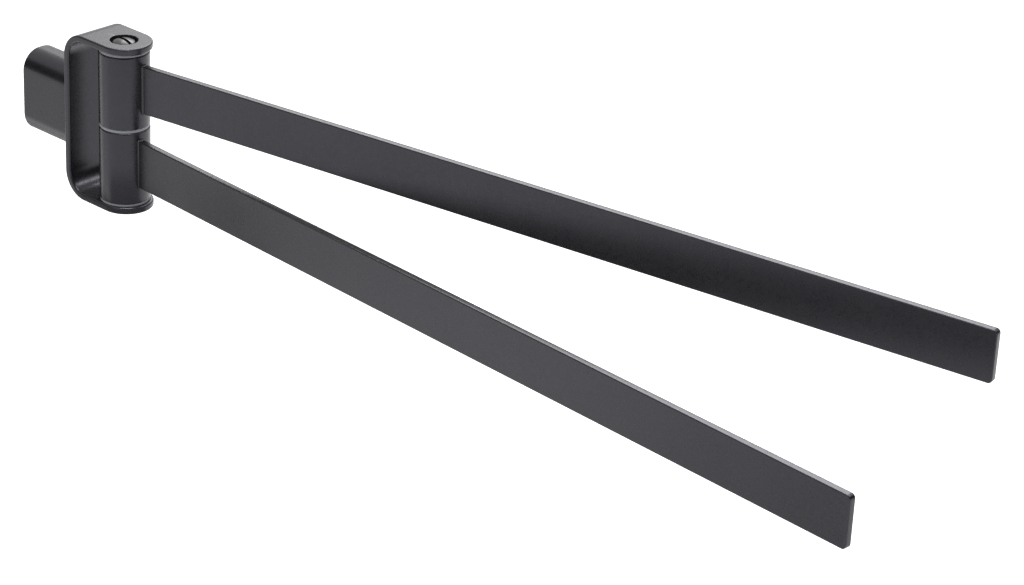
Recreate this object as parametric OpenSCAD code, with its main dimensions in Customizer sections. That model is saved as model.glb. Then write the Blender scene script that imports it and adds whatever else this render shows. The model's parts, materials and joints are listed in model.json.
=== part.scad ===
// Two-arm swivel towel holder for a wall, in millimetres.
// The wall is the plane Y = 0 and the holder stands out from it towards -Y, with +Z up.
// The origin is the middle of the face that rests on the wall.

/* [Wall post] */
// Width of the post
post_w = 20.2; // [19:0.1:26]
// Height of the post
post_h = 37.7; // [36:0.1:60]
// How far the post stands out from the wall
post_l = 29.4; // [24:0.1:60]
// Corner radius of the post, seen from the front
post_r = 9; // [5:0.1:9.4]
// Thickness of the post's side walls
post_wall = 2.8; // [2:0.1:3]
// Thickness of the post's front wall, which carries the bracket
post_front = 3.5; // [2:0.1:5]

/* [Wall plate] */
// Depth of the plate that the post slides over
plate_t = 8; // [6.5:0.1:10]
// Gap between the plate and the inside of the post
plate_gap = 0.3; // [0.1:0.05:0.6]
// Distance between the two wall screws
wall_screw_pitch = 18; // [14:0.5:19]
// Diameter of the wall screw holes
wall_screw_d = 4.5; // [3.5:0.1:5]
// Diameter of the countersinks for the wall screws
wall_sink_d = 8.4; // [7.5:0.1:9]
// Depth of the countersinks for the wall screws
wall_sink_h = 2.4; // [1.5:0.1:3]

/* [Grub screw] */
// Diameter of the grub screw that locks the post to the plate
grub_d = 4; // [3:0.5:4]
// Length of the grub screw
grub_l = 5; // [4:0.1:6]
// How far the grub screw sits inside the post's surface
grub_recess = 0.4; // [0.2:0.1:0.6]
// Hexagon of the grub screw, across its corners
grub_hex = 2.3; // [1.5:0.1:2.6]
// Depth of the grub screw's hexagon
grub_hex_h = 1.8; // [1:0.1:2.4]

/* [Bracket] */
// Width of the bracket's band
band_w = 23.4; // [20:0.1:32]
// Thickness of the bracket's band
band_t = 3.1; // [2.9:0.1:4.5]
// Inner radius of the bracket's two bends
bend_r = 8.5; // [4:0.1:10]
// Height of the space between the bracket's two ears
ear_gap = 69.5; // [64:0.5:110]
// How far the ears run on past the pivot before their round ends
ear_over = 0.8; // [0:0.1:4]

/* [Barrels] */
// Diameter of the two barrels
barrel_d = 22; // [20:0.1:28]
// Wall thickness of the barrels
barrel_wall = 2.5; // [2:0.1:3]
// Chamfer at the rims of the barrels
barrel_chamfer = 0.4; // [0.2:0.1:0.8]
// Gap between the barrels and the bracket's back
barrel_gap = 11.8; // [10:0.1:30]
// Length of each plain bush
bush_l = 9; // [5:0.5:12]

/* [Arms] */
// Length of an arm from the pivot to its tip
arm_l = 410.5; // [200:0.5:600]
// Height of an arm
arm_h = 21.6; // [12:0.1:24]
// Thickness of an arm
arm_t = 3.2; // [2:0.1:5]
// Radius of the corners at an arm's tip
arm_tip_r = 1.8; // [0.5:0.1:5]
// How far the upper arm sits above the middle of its barrel
upper_arm_rise = 1; // [-2:0.1:2]
// How far the lower arm sits above the middle of its barrel
lower_arm_rise = 1.9; // [-2:0.1:2]
// Angle of the upper arm from straight out
upper_arm_angle = 8.7; // [-90:0.1:90]
// Angle of the lower arm from straight out
lower_arm_angle = -3.5; // [-90:0.1:90]

/* [Pivot] */
// Diameter of the pivot screw's shank
pivot_d = 5; // [4:0.5:6]
// Diameter of the pivot screw's head
head_d = 9.8; // [8:0.1:11]
// Height of the head's straight rim
head_rim = 1.3; // [0.8:0.1:2]
// Height of the head's dome above its rim
head_dome = 1.1; // [0.5:0.1:2]
// Width of the slot in the head
slot_w = 1.3; // [0.8:0.1:1.8]
// Depth of the slot, from the top of the dome
slot_h = 1.5; // [0.8:0.1:1.6]
// Angle of the slot from the X axis
slot_angle = 86; // [0:0.5:180]
// Gap between the head and the side of its counterbore
head_gap = 1.1; // [0.5:0.1:2]
// Depth of the counterbore in the upper ear
sink_h = 2.1; // [1:0.1:2.2]
// Thickness of the washer between the lower ear and the lower barrel
foot_washer_t = 1; // [0.4:0.1:2]
// Thickness of the washer between the barrels
mid_washer_t = 1.3; // [0.4:0.1:2]
// Thickness of the washer between the upper barrel and the upper ear
head_washer_t = 1.2; // [0.4:0.1:2]
// How far the washers stay inside the barrels' sides
washer_inset = 0.2; // [0.1:0.1:2]
// Sheet thickness of the disc spring in the upper barrel
spring_t = 0.5; // [0.3:0.1:0.6]
// Height of the disc spring
spring_h = 0.8; // [0.7:0.1:1.5]
// Gap between the disc spring and the bore round it
spring_gap = 0.3; // [0.2:0.1:1]

/* [Studs and nuts] */
// Diameter of the studs at the back of the bracket
stud_d = 4; // [3:0.5:5]
// Distance between the two studs
stud_pitch = 15; // [12:0.5:18]
// Depth of each stud's socket in the band
stud_seat = 1.2; // [0.5:0.1:1.8]
// How far each stud stands out of its nut
stud_end = 1.4; // [0.5:0.1:4]
// Width of a nut across its corners
nut_d = 8.08; // [6:0.01:9]
// Thickness of a nut
nut_h = 3.2; // [2:0.1:4]
// Diameter of the washer under each nut
nut_washer_d = 9; // [8.5:0.1:10]
// Thickness of the washer under each nut
nut_washer_t = 0.8; // [0.5:0.1:1.5]

/* [Fits] */
// Gap round a shank in a hole that it only passes through
hole_gap = 0.25; // [0.1:0.05:0.5]
// Gap round a screw in its thread, and round a pressed or welded piece
seat_gap = 0.03; // [0.01:0.01:0.05]
// Gap between the pivot and the bushes that turn on it
running_gap = 0.05; // [0.02:0.01:0.1]
// Gap at each thrust face of the barrels
thrust_gap = 0.1; // [0.05:0.05:0.3]

/* [Hidden] */
$fn = 96;

// Room for cuts to run past the face they leave
past = 1;
// A shade of black for the powder coat, and the plain metals and plastic inside
coat = [0.15, 0.15, 0.16];
steel = [0.62, 0.63, 0.65];
dark_steel = [0.3, 0.3, 0.31];
cast = [0.5, 0.5, 0.52];
nylon = [0.48, 0.48, 0.48];

// Places that follow from the sizes above
band_back = -post_l;
band_front = band_back - band_t;
pivot_y = band_front - barrel_gap - barrel_d / 2;
ear_in = ear_gap / 2;
ear_out = ear_in + band_t;
ear_end_y = pivot_y - ear_over;
thrust_stack = foot_washer_t + mid_washer_t + head_washer_t + 4 * thrust_gap;
barrel_h = (ear_gap - thrust_stack) / 2;
lower_z = -ear_in + foot_washer_t + thrust_gap;
mid_washer_z = lower_z + barrel_h + thrust_gap;
upper_z = mid_washer_z + mid_washer_t + thrust_gap;
head_washer_z = upper_z + barrel_h + thrust_gap;
spring_z = head_washer_z - thrust_gap - spring_h;
spring_drop = spring_h + thrust_gap;
upper_arm_z = upper_z + (barrel_h - arm_h) / 2 + upper_arm_rise;
lower_arm_z = lower_z + (barrel_h - arm_h) / 2 + lower_arm_rise;
barrel_bore = barrel_d - 2 * barrel_wall;
arm_root = barrel_bore / 2 + seat_gap;
head_seat = ear_out - sink_h;
washer_hole = pivot_d + 2 * hole_gap;
washer_d = barrel_d - 2 * washer_inset;
grub_y = -plate_t / 2;
plate_w = post_w - 2 * post_wall - 2 * plate_gap;
plate_h = post_h - 2 * post_wall - 2 * plate_gap;
plate_r = post_r - post_wall - plate_gap;
cavity_front = band_back + post_front;
stud_l = stud_seat + post_front + nut_washer_t + nut_h + stud_end;

// A rectangle with round corners, centred
module rounded_rect(w, h, r) {
    square([w - 2 * r, h], center = true);
    square([w, h - 2 * r], center = true);
    for (x = [-1, 1], z = [-1, 1]) {
        translate([x * (w / 2 - r), z * (h / 2 - r)]) circle(r);
    }
}

// A block with a round-cornered front, from y0 to y1 along Y
module rounded_block(w, h, r, y0, y1) {
    translate([0, y1, 0]) rotate([90, 0, 0]) linear_extrude(y1 - y0) rounded_rect(w, h, r);
}

// A round bar along Y, from y0 to y1
module bar_y(d, y0, y1) {
    translate([0, y1, 0]) rotate([90, 0, 0]) cylinder(h = y1 - y0, d = d);
}

// A flat ring on the pivot's axis
module pivot_ring(outer_d, inner_d, z0, h) {
    translate([0, pivot_y, z0]) difference() {
        cylinder(h = h, d = outer_d);
        translate([0, 0, -past]) cylinder(h = h + 2 * past, d = inner_d);
    }
}

// Each of the two studs' places, one above the other
module at_studs() {
    for (side = [-1, 1]) {
        translate([0, 0, side * stud_pitch / 2]) children();
    }
}

// The side outline of the band: a C whose back is at x = 0 and whose ears run to x = reach
module band_outline(reach) {
    bend_out = bend_r + band_t;
    difference() {
        union() {
            translate([bend_out, -ear_out]) square([reach - bend_out, 2 * ear_out]);
            translate([0, -ear_out + bend_out]) square([reach, 2 * (ear_out - bend_out)]);
            for (side = [-1, 1]) {
                translate([bend_out, side * (ear_out - bend_out)]) circle(bend_out);
            }
        }
        translate([bend_out, -ear_in]) square([reach - bend_out + past, ear_gap]);
        translate([band_t, -ear_in + bend_r]) square([reach, ear_gap - 2 * bend_r]);
        for (side = [-1, 1]) {
            translate([bend_out, side * (ear_in - bend_r)]) circle(bend_r);
        }
    }
}

// The cast plate that is screwed to the wall and that the post slides over
module wall_plate() {
    color(cast) difference() {
        rounded_block(plate_w, plate_h, plate_r, -plate_t, 0);
        for (side = [-1, 1]) {
            translate([0, 0, side * wall_screw_pitch / 2]) {
                bar_y(wall_screw_d, -plate_t - past, past);
                translate([0, -plate_t + wall_sink_h, 0]) rotate([90, 0, 0])
                    cylinder(h = wall_sink_h, d1 = wall_screw_d, d2 = wall_sink_d);
            }
        }
        translate([0, grub_y, -plate_h / 2 - past])
            cylinder(h = past + grub_l + grub_recess - post_wall, d = grub_d + 2 * hole_gap);
    }
}

// The hollow post between the wall and the bracket, open at the wall
module wall_post() {
    color(coat) difference() {
        rounded_block(post_w, post_h, post_r, band_back, 0);
        rounded_block(post_w - 2 * post_wall, post_h - 2 * post_wall, post_r - post_wall, cavity_front, past);
        at_studs() bar_y(stud_d + 2 * hole_gap, band_back - past, cavity_front + past);
        translate([0, grub_y, -post_h / 2 - past])
            cylinder(h = post_wall + 2 * past, d = grub_d + 2 * seat_gap);
    }
}

// The grub screw in the underside of the post, with its point in the wall plate
module grub_screw() {
    color(dark_steel) translate([0, grub_y, -post_h / 2 + grub_recess]) difference() {
        cylinder(h = grub_l, d = grub_d);
        translate([0, 0, -past]) cylinder(h = grub_hex_h + past, d = grub_hex, $fn = 6);
    }
}

// The C-shaped band with two ears that carries the pivot
module bracket() {
    reach = band_back - ear_end_y + band_w / 2;
    color(coat) difference() {
        intersection() {
            translate([-band_w / 2, band_back, 0]) rotate([90, 0, 90])
                linear_extrude(band_w) mirror([1, 0]) band_outline(reach);
            union() {
                translate([-band_w / 2, ear_end_y, -ear_out]) cube([band_w, band_back - ear_end_y, 2 * ear_out]);
                translate([0, ear_end_y, -ear_out]) cylinder(h = 2 * ear_out, d = band_w);
            }
        }
        translate([0, pivot_y, head_seat]) cylinder(h = sink_h + past, d = head_d + 2 * head_gap);
        translate([0, pivot_y, ear_in - past]) cylinder(h = band_t + past, d = washer_hole);
        translate([0, pivot_y, -ear_out - past]) cylinder(h = band_t + 2 * past, d = pivot_d + 2 * seat_gap);
        at_studs() bar_y(stud_d + 2 * seat_gap, band_back - stud_seat, band_back + past);
    }
}

// Two short studs welded into the back of the band
module bracket_studs() {
    color(steel) at_studs() bar_y(stud_d, band_back - stud_seat, band_back - stud_seat + stud_l);
}

// The washers under the two nuts, inside the post
module stud_washers() {
    color(steel) at_studs() difference() {
        bar_y(nut_washer_d, cavity_front, cavity_front + nut_washer_t);
        bar_y(stud_d + 2 * hole_gap, cavity_front - past, cavity_front + nut_washer_t + past);
    }
}

// The two nuts that clamp the bracket to the post
module stud_nuts() {
    nut_y = cavity_front + nut_washer_t;
    color(steel) at_studs() difference() {
        translate([0, nut_y + nut_h, 0]) rotate([90, 0, 0]) cylinder(h = nut_h, d = nut_d, $fn = 6);
        bar_y(stud_d + 2 * seat_gap, nut_y - past, nut_y + nut_h + past);
    }
}

// The screw that both barrels turn on, with a domed and slotted head sunk in the upper ear
module pivot_screw() {
    dome_r = (head_d * head_d / 4 + head_dome * head_dome) / (2 * head_dome);
    rim_top = head_seat + head_rim;
    color(dark_steel) translate([0, pivot_y, 0]) difference() {
        union() {
            translate([0, 0, -ear_out]) cylinder(h = ear_out + head_seat, d = pivot_d);
            intersection() {
                translate([0, 0, head_seat]) cylinder(h = head_rim + head_dome, d = head_d);
                translate([0, 0, rim_top + head_dome - dome_r]) sphere(dome_r);
            }
        }
        rotate([0, 0, slot_angle]) translate([-head_d, -slot_w / 2, rim_top + head_dome - slot_h])
            cube([2 * head_d, slot_w, slot_h + past]);
    }
}

// The disc spring that gives the arms their friction: a shallow cone inside the top of the upper barrel
module disc_spring() {
    outer_r = barrel_bore / 2 - spring_gap;
    rise = spring_h - spring_t;
    color(steel) translate([0, pivot_y, spring_z]) rotate_extrude()
        polygon([[washer_hole / 2, rise], [outer_r, 0], [outer_r, spring_t], [washer_hole / 2, spring_h]]);
}

// The washer between the upper barrel and the upper ear
module head_washer() {
    color(nylon) pivot_ring(washer_d, washer_hole, head_washer_z, head_washer_t);
}

// The washer between the two barrels
module mid_washer() {
    color(nylon) pivot_ring(washer_d, washer_hole, mid_washer_z, mid_washer_t);
}

// The washer between the lower barrel and the lower ear
module foot_washer() {
    color(nylon) pivot_ring(washer_d, washer_hole, -ear_in, foot_washer_t);
}

// A barrel that stands on z0, with the slot that its arm is welded into
module barrel(z0, arm_z, angle) {
    r = barrel_d / 2;
    c = barrel_chamfer;
    color(coat) difference() {
        translate([0, pivot_y, z0]) rotate_extrude()
            polygon([[barrel_bore / 2, 0], [r - c, 0], [r, c], [r, barrel_h - c], [r - c, barrel_h],
                [barrel_bore / 2, barrel_h]]);
        translate([0, pivot_y, arm_z - seat_gap]) rotate([0, 0, angle])
            translate([-arm_t / 2 - seat_gap, -barrel_d, 0])
            cube([arm_t + 2 * seat_gap, barrel_d, arm_h + 2 * seat_gap]);
    }
}

// The two plain bushes of a barrel that stands on z0, one at each end, the upper one set down by a drop
module bushes(z0, drop) {
    for (z = [z0, z0 + barrel_h - drop - bush_l]) {
        color(nylon) pivot_ring(barrel_bore - 2 * seat_gap, pivot_d + 2 * running_gap, z, bush_l);
    }
}

// A flat arm with round corners at its tip, whose lower edge is at arm_z
module arm(arm_z, angle) {
    run = arm_l - arm_root;
    color(coat) translate([0, pivot_y, arm_z]) rotate([0, 0, angle - 90])
        translate([arm_root, arm_t / 2, 0]) rotate([90, 0, 0]) linear_extrude(arm_t) {
            square([run - arm_tip_r, arm_h]);
            translate([0, arm_tip_r]) square([run, arm_h - 2 * arm_tip_r]);
            for (z = [arm_tip_r, arm_h - arm_tip_r]) {
                translate([run - arm_tip_r, z]) circle(arm_tip_r);
            }
        }
}

module upper_barrel() { barrel(upper_z, upper_arm_z, upper_arm_angle); }
module upper_bushes() { bushes(upper_z, spring_drop); }
module upper_arm() { arm(upper_arm_z, upper_arm_angle); }
module lower_barrel() { barrel(lower_z, lower_arm_z, lower_arm_angle); }
module lower_bushes() { bushes(lower_z, 0); }
module lower_arm() { arm(lower_arm_z, lower_arm_angle); }

wall_plate();
wall_post();
grub_screw();
bracket();
bracket_studs();
stud_washers();
stud_nuts();
pivot_screw();
head_washer();
mid_washer();
foot_washer();
disc_spring();
upper_barrel();
upper_bushes();
upper_arm();
lower_barrel();
lower_bushes();
lower_arm();
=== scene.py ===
# %% [markdown]
# # A two-arm swivel towel holder
#
# The real thing is a small piece of bathroom hardware: a short hollow post on the wall, a band of
# steel bent into a C, two short barrels that turn between its ears, and a flat arm on each barrel.
# Everything that shows is powder-coated matt black, apart from the slotted screw in the upper ear.
# Black metal on a white ground lives from its edges, so this lesson spends its care on rounded rims,
# on the fillets where pieces meet, and on a coat that has a grain and answers softly to light.

# %% Load the frame
import json
import math

import bmesh
import bpy
import numpy as np
from mathutils import Matrix, Vector


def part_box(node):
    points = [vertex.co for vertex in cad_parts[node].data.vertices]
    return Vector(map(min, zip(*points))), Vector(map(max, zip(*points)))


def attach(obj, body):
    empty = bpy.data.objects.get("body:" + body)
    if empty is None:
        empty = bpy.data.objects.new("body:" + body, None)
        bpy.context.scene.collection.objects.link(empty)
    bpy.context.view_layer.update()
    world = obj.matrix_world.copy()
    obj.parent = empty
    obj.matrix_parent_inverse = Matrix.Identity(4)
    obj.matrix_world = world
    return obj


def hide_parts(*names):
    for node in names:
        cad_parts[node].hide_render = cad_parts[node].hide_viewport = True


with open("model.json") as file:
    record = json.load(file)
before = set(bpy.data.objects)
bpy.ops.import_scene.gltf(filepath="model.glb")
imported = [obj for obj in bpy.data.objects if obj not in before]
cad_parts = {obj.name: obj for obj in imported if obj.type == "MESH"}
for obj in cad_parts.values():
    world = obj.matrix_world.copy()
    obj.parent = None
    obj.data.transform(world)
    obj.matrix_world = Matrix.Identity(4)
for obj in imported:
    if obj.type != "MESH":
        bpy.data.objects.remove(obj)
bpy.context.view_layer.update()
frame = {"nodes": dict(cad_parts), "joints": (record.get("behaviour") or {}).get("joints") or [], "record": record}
MM = 0.001
TURN = 2 * math.pi

# %% [markdown]
# ## The camera
#
# A photograph of a product is taken from far away with a long lens, which keeps its lines nearly
# parallel. The camera here stands about 1.4 m from the holder, looks down by 25 degrees and leans
# over a little. Its axes are worked out from those three angles and put into one matrix.

# %% Camera
CAMERA_AT = Vector((-0.8166, -1.0060, 0.5168))
CAMERA_AZIMUTH = math.radians(48.406)
CAMERA_FALL = math.radians(25.343)
CAMERA_LEAN = math.radians(2.804)
CAMERA_LENS_MM = 110.49


def look(azimuth, fall, lean):
    """The camera's turn: it looks along (sin a cos f, cos a cos f, -sin f) and leans about that line."""
    level = math.cos(fall)
    forward = Vector((math.sin(azimuth) * level, math.cos(azimuth) * level, -math.sin(fall)))
    right = forward.cross(Vector((0, 0, 1))).normalized()
    up = right.cross(forward)
    leant_right = math.cos(lean) * right + math.sin(lean) * up
    leant_up = math.cos(lean) * up - math.sin(lean) * right
    return Matrix((leant_right, leant_up, -forward)).transposed().to_4x4()


camera_data = bpy.data.cameras.new("camera")
camera_data.sensor_width = 36
camera_data.lens = CAMERA_LENS_MM
camera = bpy.data.objects.new("camera", camera_data)
camera.matrix_world = Matrix.Translation(CAMERA_AT) @ look(CAMERA_AZIMUTH, CAMERA_FALL, CAMERA_LEAN)
bpy.context.scene.collection.objects.link(camera)
bpy.context.scene.camera = camera
bpy.context.scene.view_settings.view_transform = "Standard"
print("The camera stands", round(CAMERA_AT.length, 2), "m from the wall's centre point")

# %% [markdown]
# ## Sizes
#
# The main sizes come from the frame: the boxes of the nodes and the place of the pivot. What a box
# can't tell, such as the band's thickness and its bend, is written here with the part's own value.
# The radii of the rounded edges are chosen for the looks, because the frame's solids have sharp ones.

# %% Sizes read from the frame
band_low, band_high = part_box("bracket")
post_low, post_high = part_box("wall_post")
screw_low, screw_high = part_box("pivot_screw")
upper_low, upper_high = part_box("upper_barrel")
pivot_y = frame["joints"][0]["pos_m"][1]

band_w = band_high.x - band_low.x
band_back = band_high.y
ear_out = band_high.z
barrel_r = (upper_high.x - upper_low.x) / 2
band_t = 3.1 * MM
bend_r = 8.5 * MM
print("Band", round(band_w / MM, 1), "mm wide, barrels", round(2 * barrel_r / MM, 1), "mm across")

# %% [markdown]
# ## From grids of points to meshes
#
# Each surface below is a grid of points, computed as one array. A piece is made of a few such
# sheets that share their border points. Merging the doubled points closes the piece, and the
# faces are then turned outwards. This keeps a plain rule for every shape: work out the points,
# and let one short function do the rest.

# %% Sheets and pieces
SHARP_ANGLE = math.radians(40)
DOUBLE_DIST = 0.0005 * MM
THIN_DIST = 0.0002 * MM


def sheet_faces(rows, columns, closed):
    """Quads between neighbouring points of a grid. When closed, the last column joins the first."""
    i, j = np.meshgrid(np.arange(rows - 1), np.arange(columns if closed else columns - 1), indexing="ij")
    after = (j + 1) % columns
    here, above = i * columns, (i + 1) * columns
    return np.stack([here + j, here + after, above + after, above + j], -1)


def make_piece(name, sheets, slot, body, *nodes):
    """Joins sheets of points, each (rows, columns, 3) with a closed flag, into one closed smooth mesh."""
    points, faces, first = [], [], 0
    for sheet, closed in sheets:
        rows, columns = sheet.shape[:2]
        points.append(sheet.reshape(-1, 3))
        faces.append(sheet_faces(rows, columns, closed).reshape(-1, 4) + first)
        first += rows * columns
    mesh = bpy.data.meshes.new(name)
    mesh.from_pydata(np.concatenate(points).tolist(), [], np.concatenate(faces).tolist())
    work = bmesh.new()
    work.from_mesh(mesh)
    bmesh.ops.remove_doubles(work, verts=work.verts, dist=DOUBLE_DIST)
    bmesh.ops.dissolve_degenerate(work, edges=work.edges, dist=THIN_DIST)
    bmesh.ops.recalc_face_normals(work, faces=work.faces)
    open_edges = sum(not edge.is_manifold for edge in work.edges)
    work.to_mesh(mesh)
    work.free()
    mesh.shade_smooth()
    mesh.set_sharp_from_angle(angle=SHARP_ANGLE)
    piece = bpy.data.objects.new(name, mesh)
    bpy.context.scene.collection.objects.link(piece)
    mesh.materials.append(FINISHES[slot])
    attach(piece, body)
    if nodes:
        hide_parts(*nodes)
    print(name, "has", len(mesh.polygons), "faces and", open_edges, "open edges")
    return piece


# %% [markdown]
# ## Rounded edges
#
# No real edge is sharp. Bent steel, castings and coats all have a small radius that catches a line of
# light. A bevel modifier could make it, but with one width for all edges of a piece. Here the border of
# each face is led round a quarter circle instead, so every edge gets the radius of its own.

# %% Edge profile
FLAT_STRIP = 1.25


def quarter(n):
    """The sine and cosine of n + 1 even steps through a quarter turn."""
    a = np.linspace(0, TURN / 4, n + 1)
    return np.sin(a), np.cos(a)


def edge_profile(t, r_top, r_foot, crown=0.0, n=7):
    """Across a slab's edge from its top face to its underside: inset from the outline, and height h.

    A quarter circle of radius r_top leads from the top face to the side, and one of radius r_foot to the
    underside. Each face begins with one narrow strip, which keeps the face's shading flat. The side is
    crowned: it is drawn in by crown (2 h / t - 1)^2, so it stands out most at half height.
    """
    s, c = quarter(n)
    side = np.linspace(t - r_top, r_foot, n)[1:-1]
    inset = np.concatenate([[FLAT_STRIP * r_top], r_top - r_top * s, 0 * side,
                            (r_foot - r_foot * s)[::-1], [FLAT_STRIP * r_foot]])
    height = np.concatenate([[t], t - r_top + r_top * c, side, (r_foot - r_foot * c)[::-1], [0]])
    return inset + crown * (2 * height / t - 1) ** 2, height


# %% [markdown]
# ## The powder coat
#
# Powder coat is a plastic skin baked on metal. It is a dielectric, so its colour stays in the base
# colour and its shine in the specular, and it is never metallic. Two kinds of unevenness make it
# read as real: a fine grain that breaks up reflections, and a slow waviness like orange peel.
# Both are noise on Object coordinates, in metres, so the grain has its true size on every piece.
#
# The other finishes come from the same function. The screw, the fasteners and the casting on the wall
# are bare metal, so they are metallic and take their tone from the base colour. The nylon is a plain
# plastic, duller than the coat.

# %% Node helpers
NOISE_LOW, NOISE_HIGH = 0.3, 0.7


def new_material(name):
    """An empty node material, its Principled shader and a function that adds and links nodes."""
    material = bpy.data.materials.new(name)
    material.use_nodes = True
    nodes, links = material.node_tree.nodes, material.node_tree.links
    shader = nodes["Principled BSDF"]

    def add(kind, inputs=(), **settings):
        made = nodes.new(kind)
        for key, value in settings.items():
            setattr(made, key, value)
        for socket, value in dict(inputs).items():
            if isinstance(value, bpy.types.NodeSocket):
                links.new(value, made.inputs[socket])
            else:
                made.inputs[socket].default_value = value
        return made

    return material, shader, add, links


def noise(add, place, per_metre, detail=2.0, roughness=0.5):
    """Noise whose bumps are about 1 / per_metre across, from 0 to 1."""
    found = add("ShaderNodeTexNoise", {"Vector": place, "Scale": per_metre, "Detail": detail,
                                       "Roughness": roughness})
    return found.outputs["Fac"]


def spread(add, value, low, high):
    """Maps the middle range of a noise to low..high."""
    found = add("ShaderNodeMapRange", {"Value": value, "From Min": NOISE_LOW, "From Max": NOISE_HIGH,
                                       "To Min": low, "To Max": high})
    return found.outputs["Result"]


def tint(add, value, dark, light):
    """Mixes two colours by a noise."""
    ramp = add("ShaderNodeValToRGB", {"Fac": value})
    ramp.color_ramp.elements[0].position = NOISE_LOW
    ramp.color_ramp.elements[0].color = (*dark, 1)
    ramp.color_ramp.elements[1].position = NOISE_HIGH
    ramp.color_ramp.elements[1].color = (*light, 1)
    return ramp.outputs["Color"]


# %% Metal finish
TINT_PER_METRE = 60.0
SHEEN_PER_METRE = 420.0
GRAINS_PER_WAVE = 7


def rough_metal(name, dark, light, rough, grain_per_metre, grain_depth, metallic=0.0, ior=1.5, wave=0.0,
                shine=(1, 1, 1)):
    """A coated or bare metal: colour by slow noise, roughness by middle noise, and two bumps."""
    material, shader, add, links = new_material(name)
    place = add("ShaderNodeTexCoord").outputs["Object"]
    shader.inputs["Metallic"].default_value = metallic
    shader.inputs["IOR"].default_value = ior
    shader.inputs["Specular Tint"].default_value = (*shine, 1)
    links.new(tint(add, noise(add, place, TINT_PER_METRE, 3.0), dark, light), shader.inputs["Base Color"])
    links.new(spread(add, noise(add, place, SHEEN_PER_METRE), *rough), shader.inputs["Roughness"])
    grain = noise(add, place, grain_per_metre, 2.0, 0.6)
    bump = add("ShaderNodeBump", {"Height": grain, "Strength": 1.0, "Distance": grain_depth})
    if wave:
        slow = noise(add, place, grain_per_metre / GRAINS_PER_WAVE, 1.0)
        bump = add("ShaderNodeBump", {"Height": slow, "Strength": 1.0, "Distance": wave,
                                      "Normal": bump.outputs["Normal"]})
    links.new(bump.outputs["Normal"], shader.inputs["Normal"])
    return material


black_coat = rough_metal("black_coat", (0.006, 0.006, 0.007), (0.009, 0.009, 0.010), (0.26, 0.305),
                         3200.0, 0.0014 * MM, wave=0.003 * MM, shine=(0.885, 0.87, 1.0))
dark_steel = rough_metal("dark_steel", (0.06, 0.06, 0.062), (0.095, 0.095, 0.098), (0.26, 0.36),
                         2600.0, 0.003 * MM, metallic=1.0)
plain_steel = rough_metal("plain_steel", (0.50, 0.51, 0.53), (0.62, 0.63, 0.65), (0.24, 0.36),
                          1800.0, 0.003 * MM, metallic=1.0)
cast_zinc = rough_metal("cast_zinc", (0.42, 0.42, 0.44), (0.54, 0.54, 0.56), (0.42, 0.6),
                        900.0, 0.02 * MM, metallic=1.0)
nylon = rough_metal("nylon", (0.172, 0.176, 0.196), (0.210, 0.215, 0.238), (0.45, 0.6),
                    1500.0, 0.006 * MM, ior=1.53)
FINISHES = {"black_coat": black_coat, "dark_steel": dark_steel, "plain_steel": plain_steel,
            "cast_zinc": cast_zinc, "nylon": nylon}
for part in frame["record"]["subparts"]:
    mesh = frame["nodes"][part["node"]].data
    mesh.materials.clear()
    mesh.materials.append(FINISHES[part["material_slot"]])
print("Materials:", ", ".join(FINISHES))

# %% [markdown]
# ## The bracket
#
# The bracket is a strip of thick band with two round ends, bent twice. So it is worked out the way
# it is made: first flat, as an outline with rounded edges and two holes, and then bent. In the flat,
# s runs along the strip from its middle, x across it and h through its thickness. Bending only
# changes where a point with a given s and h goes.

# %% Bending the band
straight = ear_out - band_t - bend_r
bend_run = bend_r * TURN / 4
inner_back = band_back - band_t
ear_end_y = band_low.y + band_w / 2
ear_end_s = straight + bend_run + (inner_back - bend_r - ear_end_y)
pivot_s = ear_end_s - (pivot_y - ear_end_y)


def bend(s, x, h):
    """Straight up the back for |s| up to the bend, round a quarter circle, then out along the ear."""
    run = np.abs(s)
    side = np.where(s < 0, -1.0, 1.0)
    turn = np.clip((run - straight) / bend_r, 0, TURN / 4)
    over = np.maximum(run - straight - bend_run, 0)
    y = inner_back - bend_r + (bend_r + h) * np.cos(turn) - over
    z = np.minimum(run, straight) + (bend_r + h) * np.sin(turn)
    return np.stack(np.broadcast_arrays(x, y, z * side), -1)


# %% [markdown]
# The outline of the strip is a core line with a half width added in a turning direction. Taking a
# little off that half width gives the same outline, drawn in by that much, and this makes the
# rounded edge: the profile across the edge says how far to draw in at each height.
#
# Round the ends, the inner border of each face is the rim of a hole, so the upper ear gets its
# counterbore and the lower one its thread hole. Between the holes the two halves of a face meet
# on the core line.

# %% Outline of the strip
def strip_outline(half_length, n_end, n_side):
    """Core points and unit directions once round a strip: a half turn at each end, straight between."""
    turn = np.linspace(-TURN / 4, TURN / 4, n_end + 1)
    end_s = np.full(turn.size, half_length)
    direction = np.stack([np.cos(turn), np.sin(turn)], -1)
    side_s = half_length * np.linspace(1, -1, n_side + 1)[1:-1]
    side_direction = np.tile([0.0, 1.0], (side_s.size, 1))
    core = np.concatenate([end_s, side_s, -end_s, -side_s])
    directions = np.concatenate([direction, side_direction, -direction, -side_direction])
    return core, directions


OUTER_EDGE = 0.7 * MM
INNER_EDGE = 0.9 * MM
HOLE_EDGE = 0.25 * MM
SINK_R = 6.0 * MM
SINK_H = 2.1 * MM
PASS_R = 2.75 * MM
THREAD_R = 2.53 * MM
FAN_REACH = 11.5 * MM
FAN_CLOSE = 0.95
END_STEPS, SIDE_STEPS = 64, 240
FACE_MIX = np.array([0, 0.5, 0.96, 1])[:, None]

core_s, out = strip_outline(ear_end_s, END_STEPS, SIDE_STEPS)
half_w = band_w / 2


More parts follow.
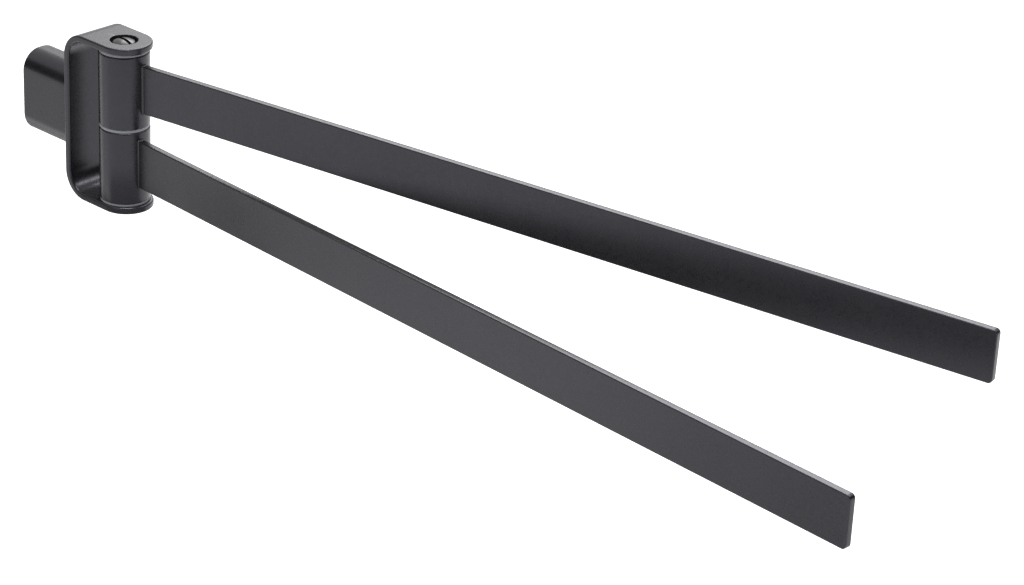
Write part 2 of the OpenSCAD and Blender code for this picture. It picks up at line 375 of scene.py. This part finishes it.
# %% Holes in the ears
def hole_angle(side):
    """The angle at the hole that each outline point goes to, and which points go to that hole.

    Round the ear's end it is the direction itself. Along the straight edges it goes on evenly from a
    quarter turn to a half turn, which closes the ring behind the hole.
    """
    behind = np.clip((pivot_s - side * core_s) / (FAN_CLOSE * FAN_REACH), 0, 1)
    angle = np.arctan2(out[:, 1], side * out[:, 0])
    straight_part = np.abs(out[:, 0]) < 1e-9
    angle = np.where(straight_part, np.sign(out[:, 1]) * (1 + behind) * TURN / 4, angle)
    return angle, side * core_s > pivot_s - FAN_REACH


def inner_border(upper_r, lower_r):
    """The inner border of a face: the rims of the two holes, and the core line between them."""
    s, x = core_s.copy(), np.zeros(core_s.size)
    for side, r in ((1, upper_r), (-1, lower_r)):
        angle, used = hole_angle(side)
        s = np.where(used, side * (pivot_s + r * np.cos(angle)), s)
        x = np.where(used, r * np.sin(angle), x)
    return s, x


def face_sheet(inset, h, upper_r, lower_r):
    """A flat face between the outline drawn in by inset and the inner border, at height h."""
    s1, x1 = core_s + (half_w - inset) * out[:, 0], (half_w - inset) * out[:, 1]
    s0, x0 = inner_border(upper_r, lower_r)
    return bend(s1 + (s0 - s1) * FACE_MIX, x1 + (x0 - x1) * FACE_MIX, h)


def hole_sheet(side, r, h):
    """The wall of a hole on one ear: its profile of radius and height, turned once round the pivot."""
    angle, used = hole_angle(side)
    angle = np.unique(np.round(angle[used], 9))
    r, h = np.array(r)[:, None], np.array(h)[:, None]
    return bend(side * (pivot_s + r * np.cos(angle)), r * np.sin(angle), h + 0 * angle)


# %% Band
inset, height = edge_profile(band_t, OUTER_EDGE, INNER_EDGE)
edge_sheet = bend(core_s + (half_w - inset[:, None]) * out[:, 0], (half_w - inset[:, None]) * out[:, 1],
                  height[:, None])
s, c = quarter(4)
sink_r = np.concatenate([SINK_R + HOLE_EDGE - HOLE_EDGE * s, [SINK_R, PASS_R, PASS_R]])
sink_h = np.concatenate([band_t - HOLE_EDGE + HOLE_EDGE * c, [band_t - SINK_H, band_t - SINK_H, 0]])
bracket_sheets = [
    (edge_sheet, True),
    (face_sheet(inset[0], band_t, SINK_R + HOLE_EDGE, THREAD_R), True),
    (face_sheet(inset[-1], 0, PASS_R, THREAD_R), True),
    (hole_sheet(1, sink_r, sink_h), False),
    (hole_sheet(-1, [THREAD_R, THREAD_R], [band_t, 0]), False),
]
make_piece("bracket_band", bracket_sheets, "black_coat", "root", "bracket")

# %% [markdown]
# ## The wall post
#
# The post is a short casting with strongly rounded corners, open at the wall. One outline serves
# for all of it: a core rectangle plus a corner radius in a turning direction. Its profile runs from
# the middle of the front face over the outside to the rim at the wall, and back down the inside.
# The underside has the hole of the grub screw. A square patch is left out of the outline there, and
# is filled by rings of points that lead from its border to the round hole.

# %% Rounded rectangles
def rounded_outline(w, h, r, n_corner, n_side):
    """Core points and unit directions once round a rectangle w by h with corners of radius r."""
    cores, directions = [], []
    corners = [(1, 1), (-1, 1), (-1, -1), (1, -1)]
    for k, (a, b) in enumerate(corners):
        turn = np.linspace(k, k + 1, n_corner + 1) * TURN / 4
        here = np.array([a * (w / 2 - r), b * (h / 2 - r)])
        after = np.array([corners[k - 3][0] * (w / 2 - r), corners[k - 3][1] * (h / 2 - r)])
        steps = np.linspace(0, 1, n_side + 1)[1:-1, None]
        cores += [np.tile(here, (turn.size, 1)), here + (after - here) * steps]
        facing = np.stack([np.cos(turn), np.sin(turn)], -1)
        directions += [facing, np.tile(facing[-1], (n_side - 1, 1))]
    return np.concatenate(cores), np.concatenate(directions)


# %% Wall post
POST_R = 9 * MM
POST_WALL = 2.8 * MM
POST_FRONT = 3.5 * MM
POST_RIM = 0.4 * MM
GRUB_R = 2.03 * MM
PATCH_HALF = 3.2 * MM
PATCH_ROWS = 6
PATCH_RINGS = 5
PATCH_IN_CORNER = 3
POST_CORNER_STEPS = 20
POST_SIDE_STEPS = 6
post_w, post_h = post_high.x - post_low.x, post_high.z - post_low.z
post_core, post_out = rounded_outline(post_w, post_h, POST_R, POST_CORNER_STEPS, POST_SIDE_STEPS)
grub_y = (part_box("grub_screw")[0].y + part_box("grub_screw")[1].y) / 2
patch_first = 3 * POST_CORNER_STEPS + 2 * POST_SIDE_STEPS - PATCH_IN_CORNER
patch_last = 3 * (POST_CORNER_STEPS + POST_SIDE_STEPS) + PATCH_IN_CORNER
patch_y = grub_y + PATCH_HALF * np.linspace(-1, 1, PATCH_ROWS + 1)


def post_ring(inset, y, squeeze=0.0):
    """The post's outline drawn in by inset at depth y, with its core squeezed towards its centre line."""
    flat = post_core * np.array([1 - squeeze, 1.0]) + (POST_R - inset) * post_out
    return np.stack([flat[:, 0], np.full(len(flat), y), flat[:, 1]], -1)


def underside(x, inset):
    """Height of the post's underside, drawn in by inset: level in the middle, then a quarter circle."""
    r = POST_R - inset
    past = np.maximum(np.abs(x) - (post_w / 2 - POST_R), 0)
    return -post_h / 2 + POST_R - np.sqrt(r ** 2 - past ** 2)


def round_patch(rings, inset, angle):
    """Fills the square left open in the underside from its border to the round grub hole."""
    square = np.array(rings)[:, patch_first:patch_last + 1, :2]
    border = np.concatenate([square[0, :-1], square[:-1, -1], square[-1, :0:-1], square[:0:-1, 0]])
    if angle is None:
        angle = np.arctan2(border[:, 1] - grub_y, border[:, 0])
    rim = np.stack([GRUB_R * np.cos(angle), grub_y + GRUB_R * np.sin(angle)], -1)
    flat = border + (rim - border) * np.linspace(0, 1, PATCH_RINGS)[:, None, None]
    return np.concatenate([flat, underside(flat[..., :1], inset)], -1), angle


def open_band(rings):
    """The rings beside the patch, from its far border round the post to its near border."""
    turned = np.roll(np.array(rings), -patch_last, axis=1)
    return turned[:, :len(post_core) - (patch_last - patch_first) + 1]


# %% Post's sheets
s, c = quarter(5)
cavity_y = post_low.y + POST_FRONT
outside = [post_ring(0, y) for y in patch_y]
inside = [post_ring(POST_WALL, y) for y in patch_y]
front = [post_ring(POST_R, post_low.y, 1.0), post_ring(POST_R, post_low.y), post_ring(0, post_low.y)]
rim = [post_ring(i, y) for i, y in zip(POST_RIM - POST_RIM * c, post_high.y - POST_RIM + POST_RIM * s)]
rim += [post_ring(POST_WALL - POST_RIM + POST_RIM * a, post_high.y - POST_RIM + POST_RIM * b)
        for a, b in zip(s, c)]
cavity = [post_ring(POST_WALL, cavity_y), post_ring(POST_R, cavity_y), post_ring(POST_R, cavity_y, 1.0)]
outer_patch, grub_angle = round_patch(outside, 0, None)
inner_patch, grub_angle = round_patch(inside, POST_WALL, grub_angle)
post_sheets = [
    (np.array(front + outside[:1]), True), (open_band(outside), False),
    (np.array(outside[-1:] + rim + inside[-1:]), True), (open_band(inside), False),
    (np.array(inside[:1] + cavity), True), (outer_patch, True), (inner_patch, True),
    (np.array([outer_patch[-1], inner_patch[-1]]), True),
]
make_piece("wall_post_casting", post_sheets, "black_coat", "root", "wall_post")

# %% [markdown]
# ## The barrels and their washers
#
# A barrel is a short tube. It is turned on a lathe, so here too it is a profile spun about the pivot.
# Only its rims need care: the upper one is rounded more, and reads as a dark line under the washer
# above it. Three washers of grey nylon part the barrels from the ears and from each other. They are
# nearly as wide as the barrels, so each one shows as a thin paler line.

# %% Barrels and washers
BARREL_TOP_EDGE = 0.7 * MM
BARREL_FOOT_EDGE = 0.35 * MM
BARREL_WALL = 2.5 * MM
WASHER_EDGE = 0.15 * MM
WASHER_BORE = 2.75 * MM
RIM_STRIP = 1.3
SPIN_STEPS = 160


def spin(r, z, n):
    """A profile of radius and height, turned once round the pivot in n steps."""
    turn = np.arange(n) * TURN / n
    r, z = np.array(r)[:, None], np.array(z)[:, None]
    return np.stack(np.broadcast_arrays(r * np.cos(turn), pivot_y + r * np.sin(turn), z), -1)


def turned_ring(name, node, bore, foot, top, slot, body):
    """A tube with its outer rims rounded by foot and top: out below, up the side and back above."""
    low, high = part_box(node)
    s, c = quarter(7)
    r = (high.x - low.x) / 2
    radius = np.concatenate([[bore, r - RIM_STRIP * foot], r - foot + foot * s, r - top + top * c,
                             [r - RIM_STRIP * top, bore, bore]])
    z = np.concatenate([[low.z, low.z], low.z + foot - foot * c, high.z - top + top * s,
                        [high.z, high.z, low.z]])
    make_piece(name, [(spin(radius, z, SPIN_STEPS), True)], slot, body, node)


for place in ("upper", "lower"):
    turned_ring(place + "_barrel_tube", place + "_barrel", barrel_r - BARREL_WALL, BARREL_FOOT_EDGE,
                BARREL_TOP_EDGE, "black_coat", place + "_swivel")
for place in ("head", "mid", "foot"):
    turned_ring(place + "_thrust_ring", place + "_washer", WASHER_BORE, WASHER_EDGE, WASHER_EDGE,
                "nylon", "root")

# %% [markdown]
# ## The arms
#
# An arm is a flat bar on edge with softened corners. In the flat it is a rounded rectangle, r along
# the arm and z up it, and the edge profile rounds it across its thickness. Each arm points away
# from the pivot at its own angle, so the last step turns the finished points about the pivot.

# %% Arms
ARM_L = 410.5 * MM
ARM_T = 3.2 * MM
ARM_TIP_R = 1.8 * MM
ARM_EDGE = 0.4 * MM
ARM_CROWN = 0.05 * MM
ARM_START = 8.6 * MM
TIP_STEPS, ARM_STEPS = 10, 24
ANGLES = {"upper": math.radians(8.7), "lower": math.radians(-3.5)}


def point_out(along, across, z, angle):
    """Points given along and across an arm, turned to its angle from straight out."""
    x = along * math.sin(angle) + across * math.cos(angle)
    y = pivot_y - along * math.cos(angle) + across * math.sin(angle)
    return np.stack(np.broadcast_arrays(x, y, z), -1)


def arm(which):
    """A bar from inside its barrel to the tip, rounded along every edge."""
    low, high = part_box(which + "_arm")
    length, tall = ARM_L - ARM_START, high.z - low.z
    core, facing = rounded_outline(length, tall, ARM_TIP_R, TIP_STEPS, ARM_STEPS)
    middle = np.array([ARM_START + length / 2, (low.z + high.z) / 2])
    inset, across = edge_profile(ARM_T, ARM_EDGE, ARM_EDGE, ARM_CROWN)
    flat = middle + core + (ARM_TIP_R - inset[:, None, None]) * facing
    angle = ANGLES[which]
    edge = point_out(flat[..., 0], across[:, None] - ARM_T / 2, flat[..., 1], angle)
    to_middle = np.array([0, 1.0])[:, None]
    sheets = [(edge, True)]
    for row in (0, -1):
        border = flat[row]
        z = border[:, 1] + (middle[1] - border[:, 1]) * to_middle
        face = point_out(border[:, 0] + 0 * to_middle, across[row] - ARM_T / 2, z, angle)
        sheets.append((face, True))
    make_piece(which + "_arm_bar", sheets, "black_coat", which + "_swivel", which + "_arm")


arm("upper")
arm("lower")

# %% [markdown]
# Where a bar is welded to its barrel, a smooth bead runs down each side of it, with the coat over it.
# The bead's section is a flat arch from the barrel to the bar. It is broad on the two sides and narrow
# over and under the bar, so one formula carries it once round with a breadth that changes on the way.
# Its foot has to follow the barrel's round surface, so the distance out starts at that surface.

# %% Weld beads
BEAD_ASIDE = 0.3 * MM
BEAD_ABOVE = 0.4 * MM
BEAD_AHEAD = 1.0 * MM
BEAD_DEPTH = 0.8 * MM
BEAD_ARCH = 0.6
BEAD_INSIDE = -0.3
BEAD_STEPS = 9
BEAD_CORNER_STEPS, BEAD_SIDE_STEPS = 6, 12


def weld_bead(which):
    """An arched section carried round the bar: aside = b cos a, ahead = h sin a, blended with the chord."""
    low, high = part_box(which + "_arm")
    core, facing = rounded_outline(ARM_T, high.z - low.z, ARM_EDGE, BEAD_CORNER_STEPS, BEAD_SIDE_STEPS)
    a = np.linspace(0, TURN / 4, BEAD_STEPS)
    chord = np.linspace(0, 1, BEAD_STEPS)
    out_share = BEAD_ARCH * np.cos(a) + (1 - BEAD_ARCH) * (1 - chord)
    ahead_share = BEAD_ARCH * np.sin(a) + (1 - BEAD_ARCH) * chord
    aside = np.concatenate([out_share, [BEAD_INSIDE, BEAD_INSIDE, 1]])
    ahead = np.concatenate([ahead_share * BEAD_AHEAD, [BEAD_AHEAD, -BEAD_DEPTH, -BEAD_DEPTH]])
    breadth = facing * np.array([BEAD_ASIDE, BEAD_ABOVE])
    flat = core + ARM_EDGE * facing + aside[:, None, None] * breadth
    surface = np.sqrt(barrel_r ** 2 - flat[..., 0] ** 2)
    middle_z = (low.z + high.z) / 2
    points = point_out(surface + ahead[:, None], flat[..., 0], flat[..., 1] + middle_z, ANGLES[which])
    points = np.concatenate([points, points[:1]])
    make_piece(which + "_arm_weld", [(points, True)], "black_coat", which + "_swivel")


weld_bead("upper")
weld_bead("lower")

# %% [markdown]
# ## The pivot screw
#
# All that shows of the pivot is its head: a low dome with a slot, sunk in the upper ear. The dome is
# two halves with the slot between them. In plan, a row of points runs from the slot's edge to the
# rim, and its height follows the dome. Below the slot's floor the screw is a plain turned shape.

# %% Pivot screw
SLOT_W = 1.6 * MM
SLOT_H = 1.5 * MM
SLOT_TURN = math.radians(86)
DOME_H = 1.1 * MM
RIM_H = 1.3 * MM
HEAD_EDGE = 0.35 * MM
SHANK_R = 2.5 * MM
SHANK_EDGE = 0.4 * MM
head_r = (screw_high.x - screw_low.x) / 2
apex = screw_high.z
rim_top = apex - DOME_H
seat = rim_top - RIM_H
dome_r = (head_r ** 2 + DOME_H ** 2) / (2 * DOME_H)
floor_z = apex - SLOT_H


def place_head(x, y, z):
    """Points of the head, whose slot runs along y in plan, turned to the slot's angle about the pivot."""
    turn = SLOT_TURN - TURN / 4
    px = x * math.cos(turn) - y * math.sin(turn)
    py = pivot_y + x * math.sin(turn) + y * math.cos(turn)
    return np.stack(np.broadcast_arrays(px, py, z), -1)


def dome_z(r):
    """Height of the dome: part of a large ball, brought down at the rim by a short rounding."""
    ball = apex - dome_r + np.sqrt(dome_r ** 2 - r ** 2)
    past = np.clip((r - (head_r - HEAD_EDGE)) / HEAD_EDGE, 0, 1)
    return ball - HEAD_EDGE * (1 - np.sqrt(1 - past ** 2))


# %% [markdown]
# The rows of one half lie along the slot at first, and bend into arcs where the rim's rounding begins.
# The slot's wall follows the half's border from rim to rim, and its floor joins the two halves. Where
# they meet the round head, all of them use the same points, so the doubles merge.

# %% Dome, rim and slot
DOME_ROWS, RIM_ROWS, HALF_STEPS = 14, 7, 48
FLOOR_ROWS = 5
half_slot = SLOT_W / 2
rounding = np.linspace(0, TURN / 4, RIM_ROWS)
rim_r = head_r - HEAD_EDGE * (1 - np.sin(rounding))
half_chord = math.sqrt(rim_r[0] ** 2 - half_slot ** 2)
edge_y = half_chord * np.sin(np.linspace(-1, 1, HALF_STEPS + 1) * TURN / 4)
edge_angle = np.arcsin(edge_y / rim_r[0])

stretch = (np.arccos(half_slot / rim_r) / np.arccos(half_slot / rim_r[0]))[:, None]
rim_x = rim_r[:, None] * np.cos(stretch * edge_angle)
rim_y = rim_r[:, None] * np.sin(stretch * edge_angle)
mix = np.linspace(0, 1, DOME_ROWS + 1)[:-1, None]
dome_x = np.concatenate([half_slot + (rim_x[0] - half_slot) * mix, rim_x])
dome_y = np.concatenate([edge_y + 0 * mix, rim_y])
dome_h = dome_z(np.minimum(np.hypot(dome_x, dome_y), head_r))


def down_to_floor(h):
    """Two rows of heights: the given one, and the slot's floor."""
    return np.stack([h, np.full(h.size, floor_z)])


def slot_border(grid):
    """A grid's values along the half's border on the slot: in from one rim, along, and out to the other."""
    return np.concatenate([grid[:DOME_ROWS:-1, 0], grid[0], grid[DOME_ROWS + 1:, -1]])


border_y = slot_border(dome_y)
wall_h, side_h = down_to_floor(slot_border(dome_h)), down_to_floor(dome_h[-1])
head_sheets = []
for half in (1, -1):
    head_sheets += [(place_head(half * dome_x, half * dome_y, dome_h), False),
                    (place_head(half * dome_x[-1], half * dome_y[-1], side_h), False),
                    (place_head(half * half_slot, half * border_y, wall_h), False)]

floor_x = half_slot * np.linspace(-1, 1, FLOOR_ROWS)[:, None] + 0 * border_y
floor_reach = np.sqrt(head_r ** 2 - floor_x ** 2)
floor_y = border_y / np.abs(border_y).max() * floor_reach
head_sheets.append((place_head(floor_x, floor_y, floor_z), False))
print("The head is", round(2 * head_r / MM, 1), "mm across, its slot", round(SLOT_W / MM, 1), "mm wide")

# %% Shank
gap_angle = np.arctan2(floor_reach[:, 0], floor_x[:, 0])
half_angle = np.arctan2(dome_y[-1], dome_x[-1])
half_round = np.concatenate([half_angle, gap_angle])
round_angle = np.unique(np.round(np.concatenate([half_round, half_round + TURN / 2]) % TURN, 9))
shank_r = np.array([head_r, head_r, SHANK_R, SHANK_R, SHANK_R - SHANK_EDGE, 0])[:, None]
shank_z = np.array([floor_z, seat, seat, -ear_out + SHANK_EDGE, -ear_out, -ear_out])[:, None]
shank = place_head(shank_r * np.cos(round_angle), shank_r * np.sin(round_angle), shank_z)
head_sheets.append((shank, True))
make_piece("pivot_screw_slotted", head_sheets, "dark_steel", "root", "pivot_screw")

# %% [markdown]
# ## The studio
#
# The holder hangs at its real height, about 1.2 m above a pale floor, in a white room. The floor
# glows a little, but only for the camera and for reflections.

# %% Floor
FLOOR_Z = -1.2
FLOOR_HALF = 9.0
FLOOR_GLOW = 0.6


def seen(add):
    """1 for what the camera sees, straight or in a glossy or clear surface, else 0."""
    rays = add("ShaderNodeLightPath").outputs
    either = add("ShaderNodeMath", {0: rays["Is Camera Ray"], 1: rays["Is Glossy Ray"]}, operation="MAXIMUM")
    return add("ShaderNodeMath", {0: either.outputs[0], 1: rays["Is Transmission Ray"]},
               operation="MAXIMUM").outputs[0]


def pale_floor():
    """A matt white floor with a glow that only the camera and reflections see."""
    material, shader, add, links = new_material("pale_floor")
    place = add("ShaderNodeTexCoord").outputs["Object"]
    links.new(tint(add, noise(add, place, 3.0), (0.80, 0.80, 0.80), (0.84, 0.84, 0.84)),
              shader.inputs["Base Color"])
    shader.inputs["Roughness"].default_value = 0.9
    shader.inputs["Specular IOR Level"].default_value = 0.1
    shader.inputs["Emission Color"].default_value = (1, 1, 1, 1)
    glow = add("ShaderNodeMath", {0: seen(add), 1: FLOOR_GLOW}, operation="MULTIPLY")
    links.new(glow.outputs[0], shader.inputs["Emission Strength"])
    return material


corners = FLOOR_HALF * np.array([(-1, -1), (1, -1), (1, 1), (-1, 1)])
floor_mesh = bpy.data.meshes.new("floor")
floor_mesh.from_pydata([(x, y, FLOOR_Z) for x, y in corners], [], [(0, 1, 2, 3)])
floor_mesh.materials.append(pale_floor())
floor = bpy.data.objects.new("floor", floor_mesh)
bpy.context.scene.collection.objects.link(floor)
print("The floor lies", -FLOOR_Z, "m below the middle of the post")

# %% [markdown]
# A black satin surface shows little but reflections, so a photographer of black things sets dark
# cards round them. A card works where the face it is meant for looks: a face with normal n shows
# what lies along v - 2 (v n) n, where v is the line of sight. Directions are given as on a compass,
# with the azimuth turning from -X towards -Y and the rise counted from level.
#
# The black cards keep the rounded edges dark: the upper rims by the one overhead, the top of the post
# by the one at the left, the right flanks of the barrels by the other two. Grey cards glow faintly and
# set a tone: one for the post's side, one for its underside, one for the outer end of the lower arm.
# Two curved ones stand near the head: a small skirt below the lower ear gives its edge one even tone
# all round, and a wider bowl in front of it lets the lower barrel grow darker towards its foot. All of
# them show in reflections only, so the light that falls on the holder stays plain.

# %% Dark cards
AIM = Vector((0.0, -0.1, 0.0))


def compass(azimuth, rise):
    """A unit direction: azimuth in degrees from -X towards -Y, and rise in degrees above level."""
    a, e = math.radians(azimuth), math.radians(rise)
    return Vector((-math.cos(a) * math.cos(e), -math.sin(a) * math.cos(e), math.sin(e)))


def card_material(name, glow):
    """Black velvet with a little unevenness, made grey by a faint glow."""
    material, shader, add, links = new_material(name)
    place = add("ShaderNodeTexCoord").outputs["Object"]
    links.new(tint(add, noise(add, place, 8.0), (0.004, 0.004, 0.004), (0.008, 0.008, 0.008)),
              shader.inputs["Base Color"])
    shader.inputs["Roughness"].default_value = 1.0
    shader.inputs["Specular IOR Level"].default_value = 0.0
    shader.inputs["Emission Color"].default_value = (1, 1, 1, 1)
    shader.inputs["Emission Strength"].default_value = glow
    return material


def dark_sheet(name, sheet, glow):
    """A dark sheet, given as a grid of points, that shows in reflections only."""
    rows, columns = sheet.shape[:2]
    faces = sheet_faces(rows, columns, False).reshape(-1, 4)
    mesh = bpy.data.meshes.new(name)
    mesh.from_pydata(sheet.reshape(-1, 3).tolist(), [], faces.tolist())
    mesh.materials.append(card_material(name, glow))
    made = bpy.data.objects.new(name, mesh)
    made.visible_camera = made.visible_diffuse = made.visible_shadow = made.visible_transmission = False
    bpy.context.scene.collection.objects.link(made)


def card(name, azimuth, rise, distance, w, h, glow):
    """A flat card that faces the holder from a direction."""
    middle = AIM + distance * compass(azimuth, rise)
    facing = (AIM - middle).normalized()
    across = facing.cross(Vector((0, 0, 1))).normalized() * w / 2
    up = across.cross(facing).normalized() * h / 2
    dark_sheet(name, np.array([[middle - across - up, middle + across - up],
                               [middle - across + up, middle + across + up]]), glow)


# Each row: azimuth and rise in degrees, distance, size across and size up in metres, and glow.
CARDS = {
    "card_overhead": (49, 38, 2.2, 2.0, 2.4, 0.0),
    "card_left": (-42, 12.5, 2.4, 2.8, 1.42, 0.0),
    "card_right": (130, 16, 2.2, 2.0, 1.3, 0.0),
    "card_front": (108, -23, 2.0, 0.6, 1.2, 0.0),
    "card_side": (-62, -22, 2.4, 1.0, 1.0, 1.0),
    "card_under": (-102, -41, 1.7, 1.1, 0.6, 0.5),
    "card_tip": (-28, -38.5, 1.6, 0.45, 0.42, 0.35),
}
for name, row in CARDS.items():
    card(name, *row)
print(len(CARDS), "flat cards stand round the holder")

# %% Curved cards
BOWL_R, BOWL_TOP, BOWL_FOOT, BOWL_GLOW = 60 * MM, -44 * MM, -75 * MM, 0.6
SKIRT_R, SKIRT_TOP, SKIRT_FOOT, SKIRT_GLOW = 18 * MM, -37 * MM, -48 * MM, 0.5


def arc_round_pivot(r, first, last, n):
    """Points in plan at radius r from the pivot: x = -r cos a, y = pivot - r sin a, with a in degrees."""
    a = np.radians(np.linspace(first, last, n))
    return -r * np.cos(a), pivot_y - r * np.sin(a)


def curtain(name, x, y, top, foot, glow):
    """A sheet that hangs from one height to another below a line in plan."""
    dark_sheet(name, np.array([np.stack([x, y, z + 0 * x], -1) for z in (top, foot)]), glow)


bowl_x, bowl_y = arc_round_pivot(BOWL_R, -15, 110, 26)
curtain("grey_bowl", bowl_x, bowl_y, BOWL_TOP, BOWL_FOOT, BOWL_GLOW)
skirt_x, skirt_y = arc_round_pivot(SKIRT_R, 0, 108, 30)
skirt_x = np.concatenate([[-SKIRT_R, -SKIRT_R], skirt_x])
skirt_y = np.concatenate([[post_low.y, (post_low.y + pivot_y) / 2], skirt_y])
curtain("grey_skirt", skirt_x, skirt_y, SKIRT_TOP, SKIRT_FOOT, SKIRT_GLOW)
print("The bowl stands", round(BOWL_R / MM), "mm from the pivot, the skirt", round(SKIRT_R / MM), "mm")

# %% [markdown]
# Three soft lamps draw the bright parts. A large one, high behind the holder, lights the flat tops.
# A small one at the right draws the line in the lower bend, and one overhead draws the thin line
# round the lower ear. The white of the room fills in the rest.

# %% World
ROOM_STRENGTH = 0.9


def white_room():
    """An even white all round."""
    world = bpy.data.worlds.new("white_room")
    world.use_nodes = True
    world.node_tree.nodes["Background"].inputs["Color"].default_value = (1, 1, 1, 1)
    world.node_tree.nodes["Background"].inputs["Strength"].default_value = ROOM_STRENGTH
    bpy.context.scene.world = world


white_room()


# %% Lamps
def soft_lamp(name, azimuth, rise, distance, w, h, watts):
    """A square soft lamp that shines at the holder from a direction."""
    data = bpy.data.lights.new(name, "AREA")
    data.shape = "RECTANGLE"
    data.size, data.size_y = w, h
    data.energy = watts
    lamp = bpy.data.objects.new(name, data)
    lamp.location = AIM + distance * compass(azimuth, rise)
    lamp.rotation_euler = compass(azimuth, rise).to_track_quat("Z", "Y").to_euler()
    lamp.visible_camera = False
    bpy.context.scene.collection.objects.link(lamp)


# Each row: azimuth and rise in degrees, distance, size across and size up in metres, and watts.
LAMPS = {
    "back_softbox": (217, 41, 4.0, 1.9, 2.4, 71),
    "right_softbox": (151, 49, 1.8, 0.4, 0.4, 4),
    "top_softbox": (49, 80, 1.6, 0.9, 0.35, 22),
}
for name, row in LAMPS.items():
    soft_lamp(name, *row)
print("Lamps:", ", ".join(LAMPS))
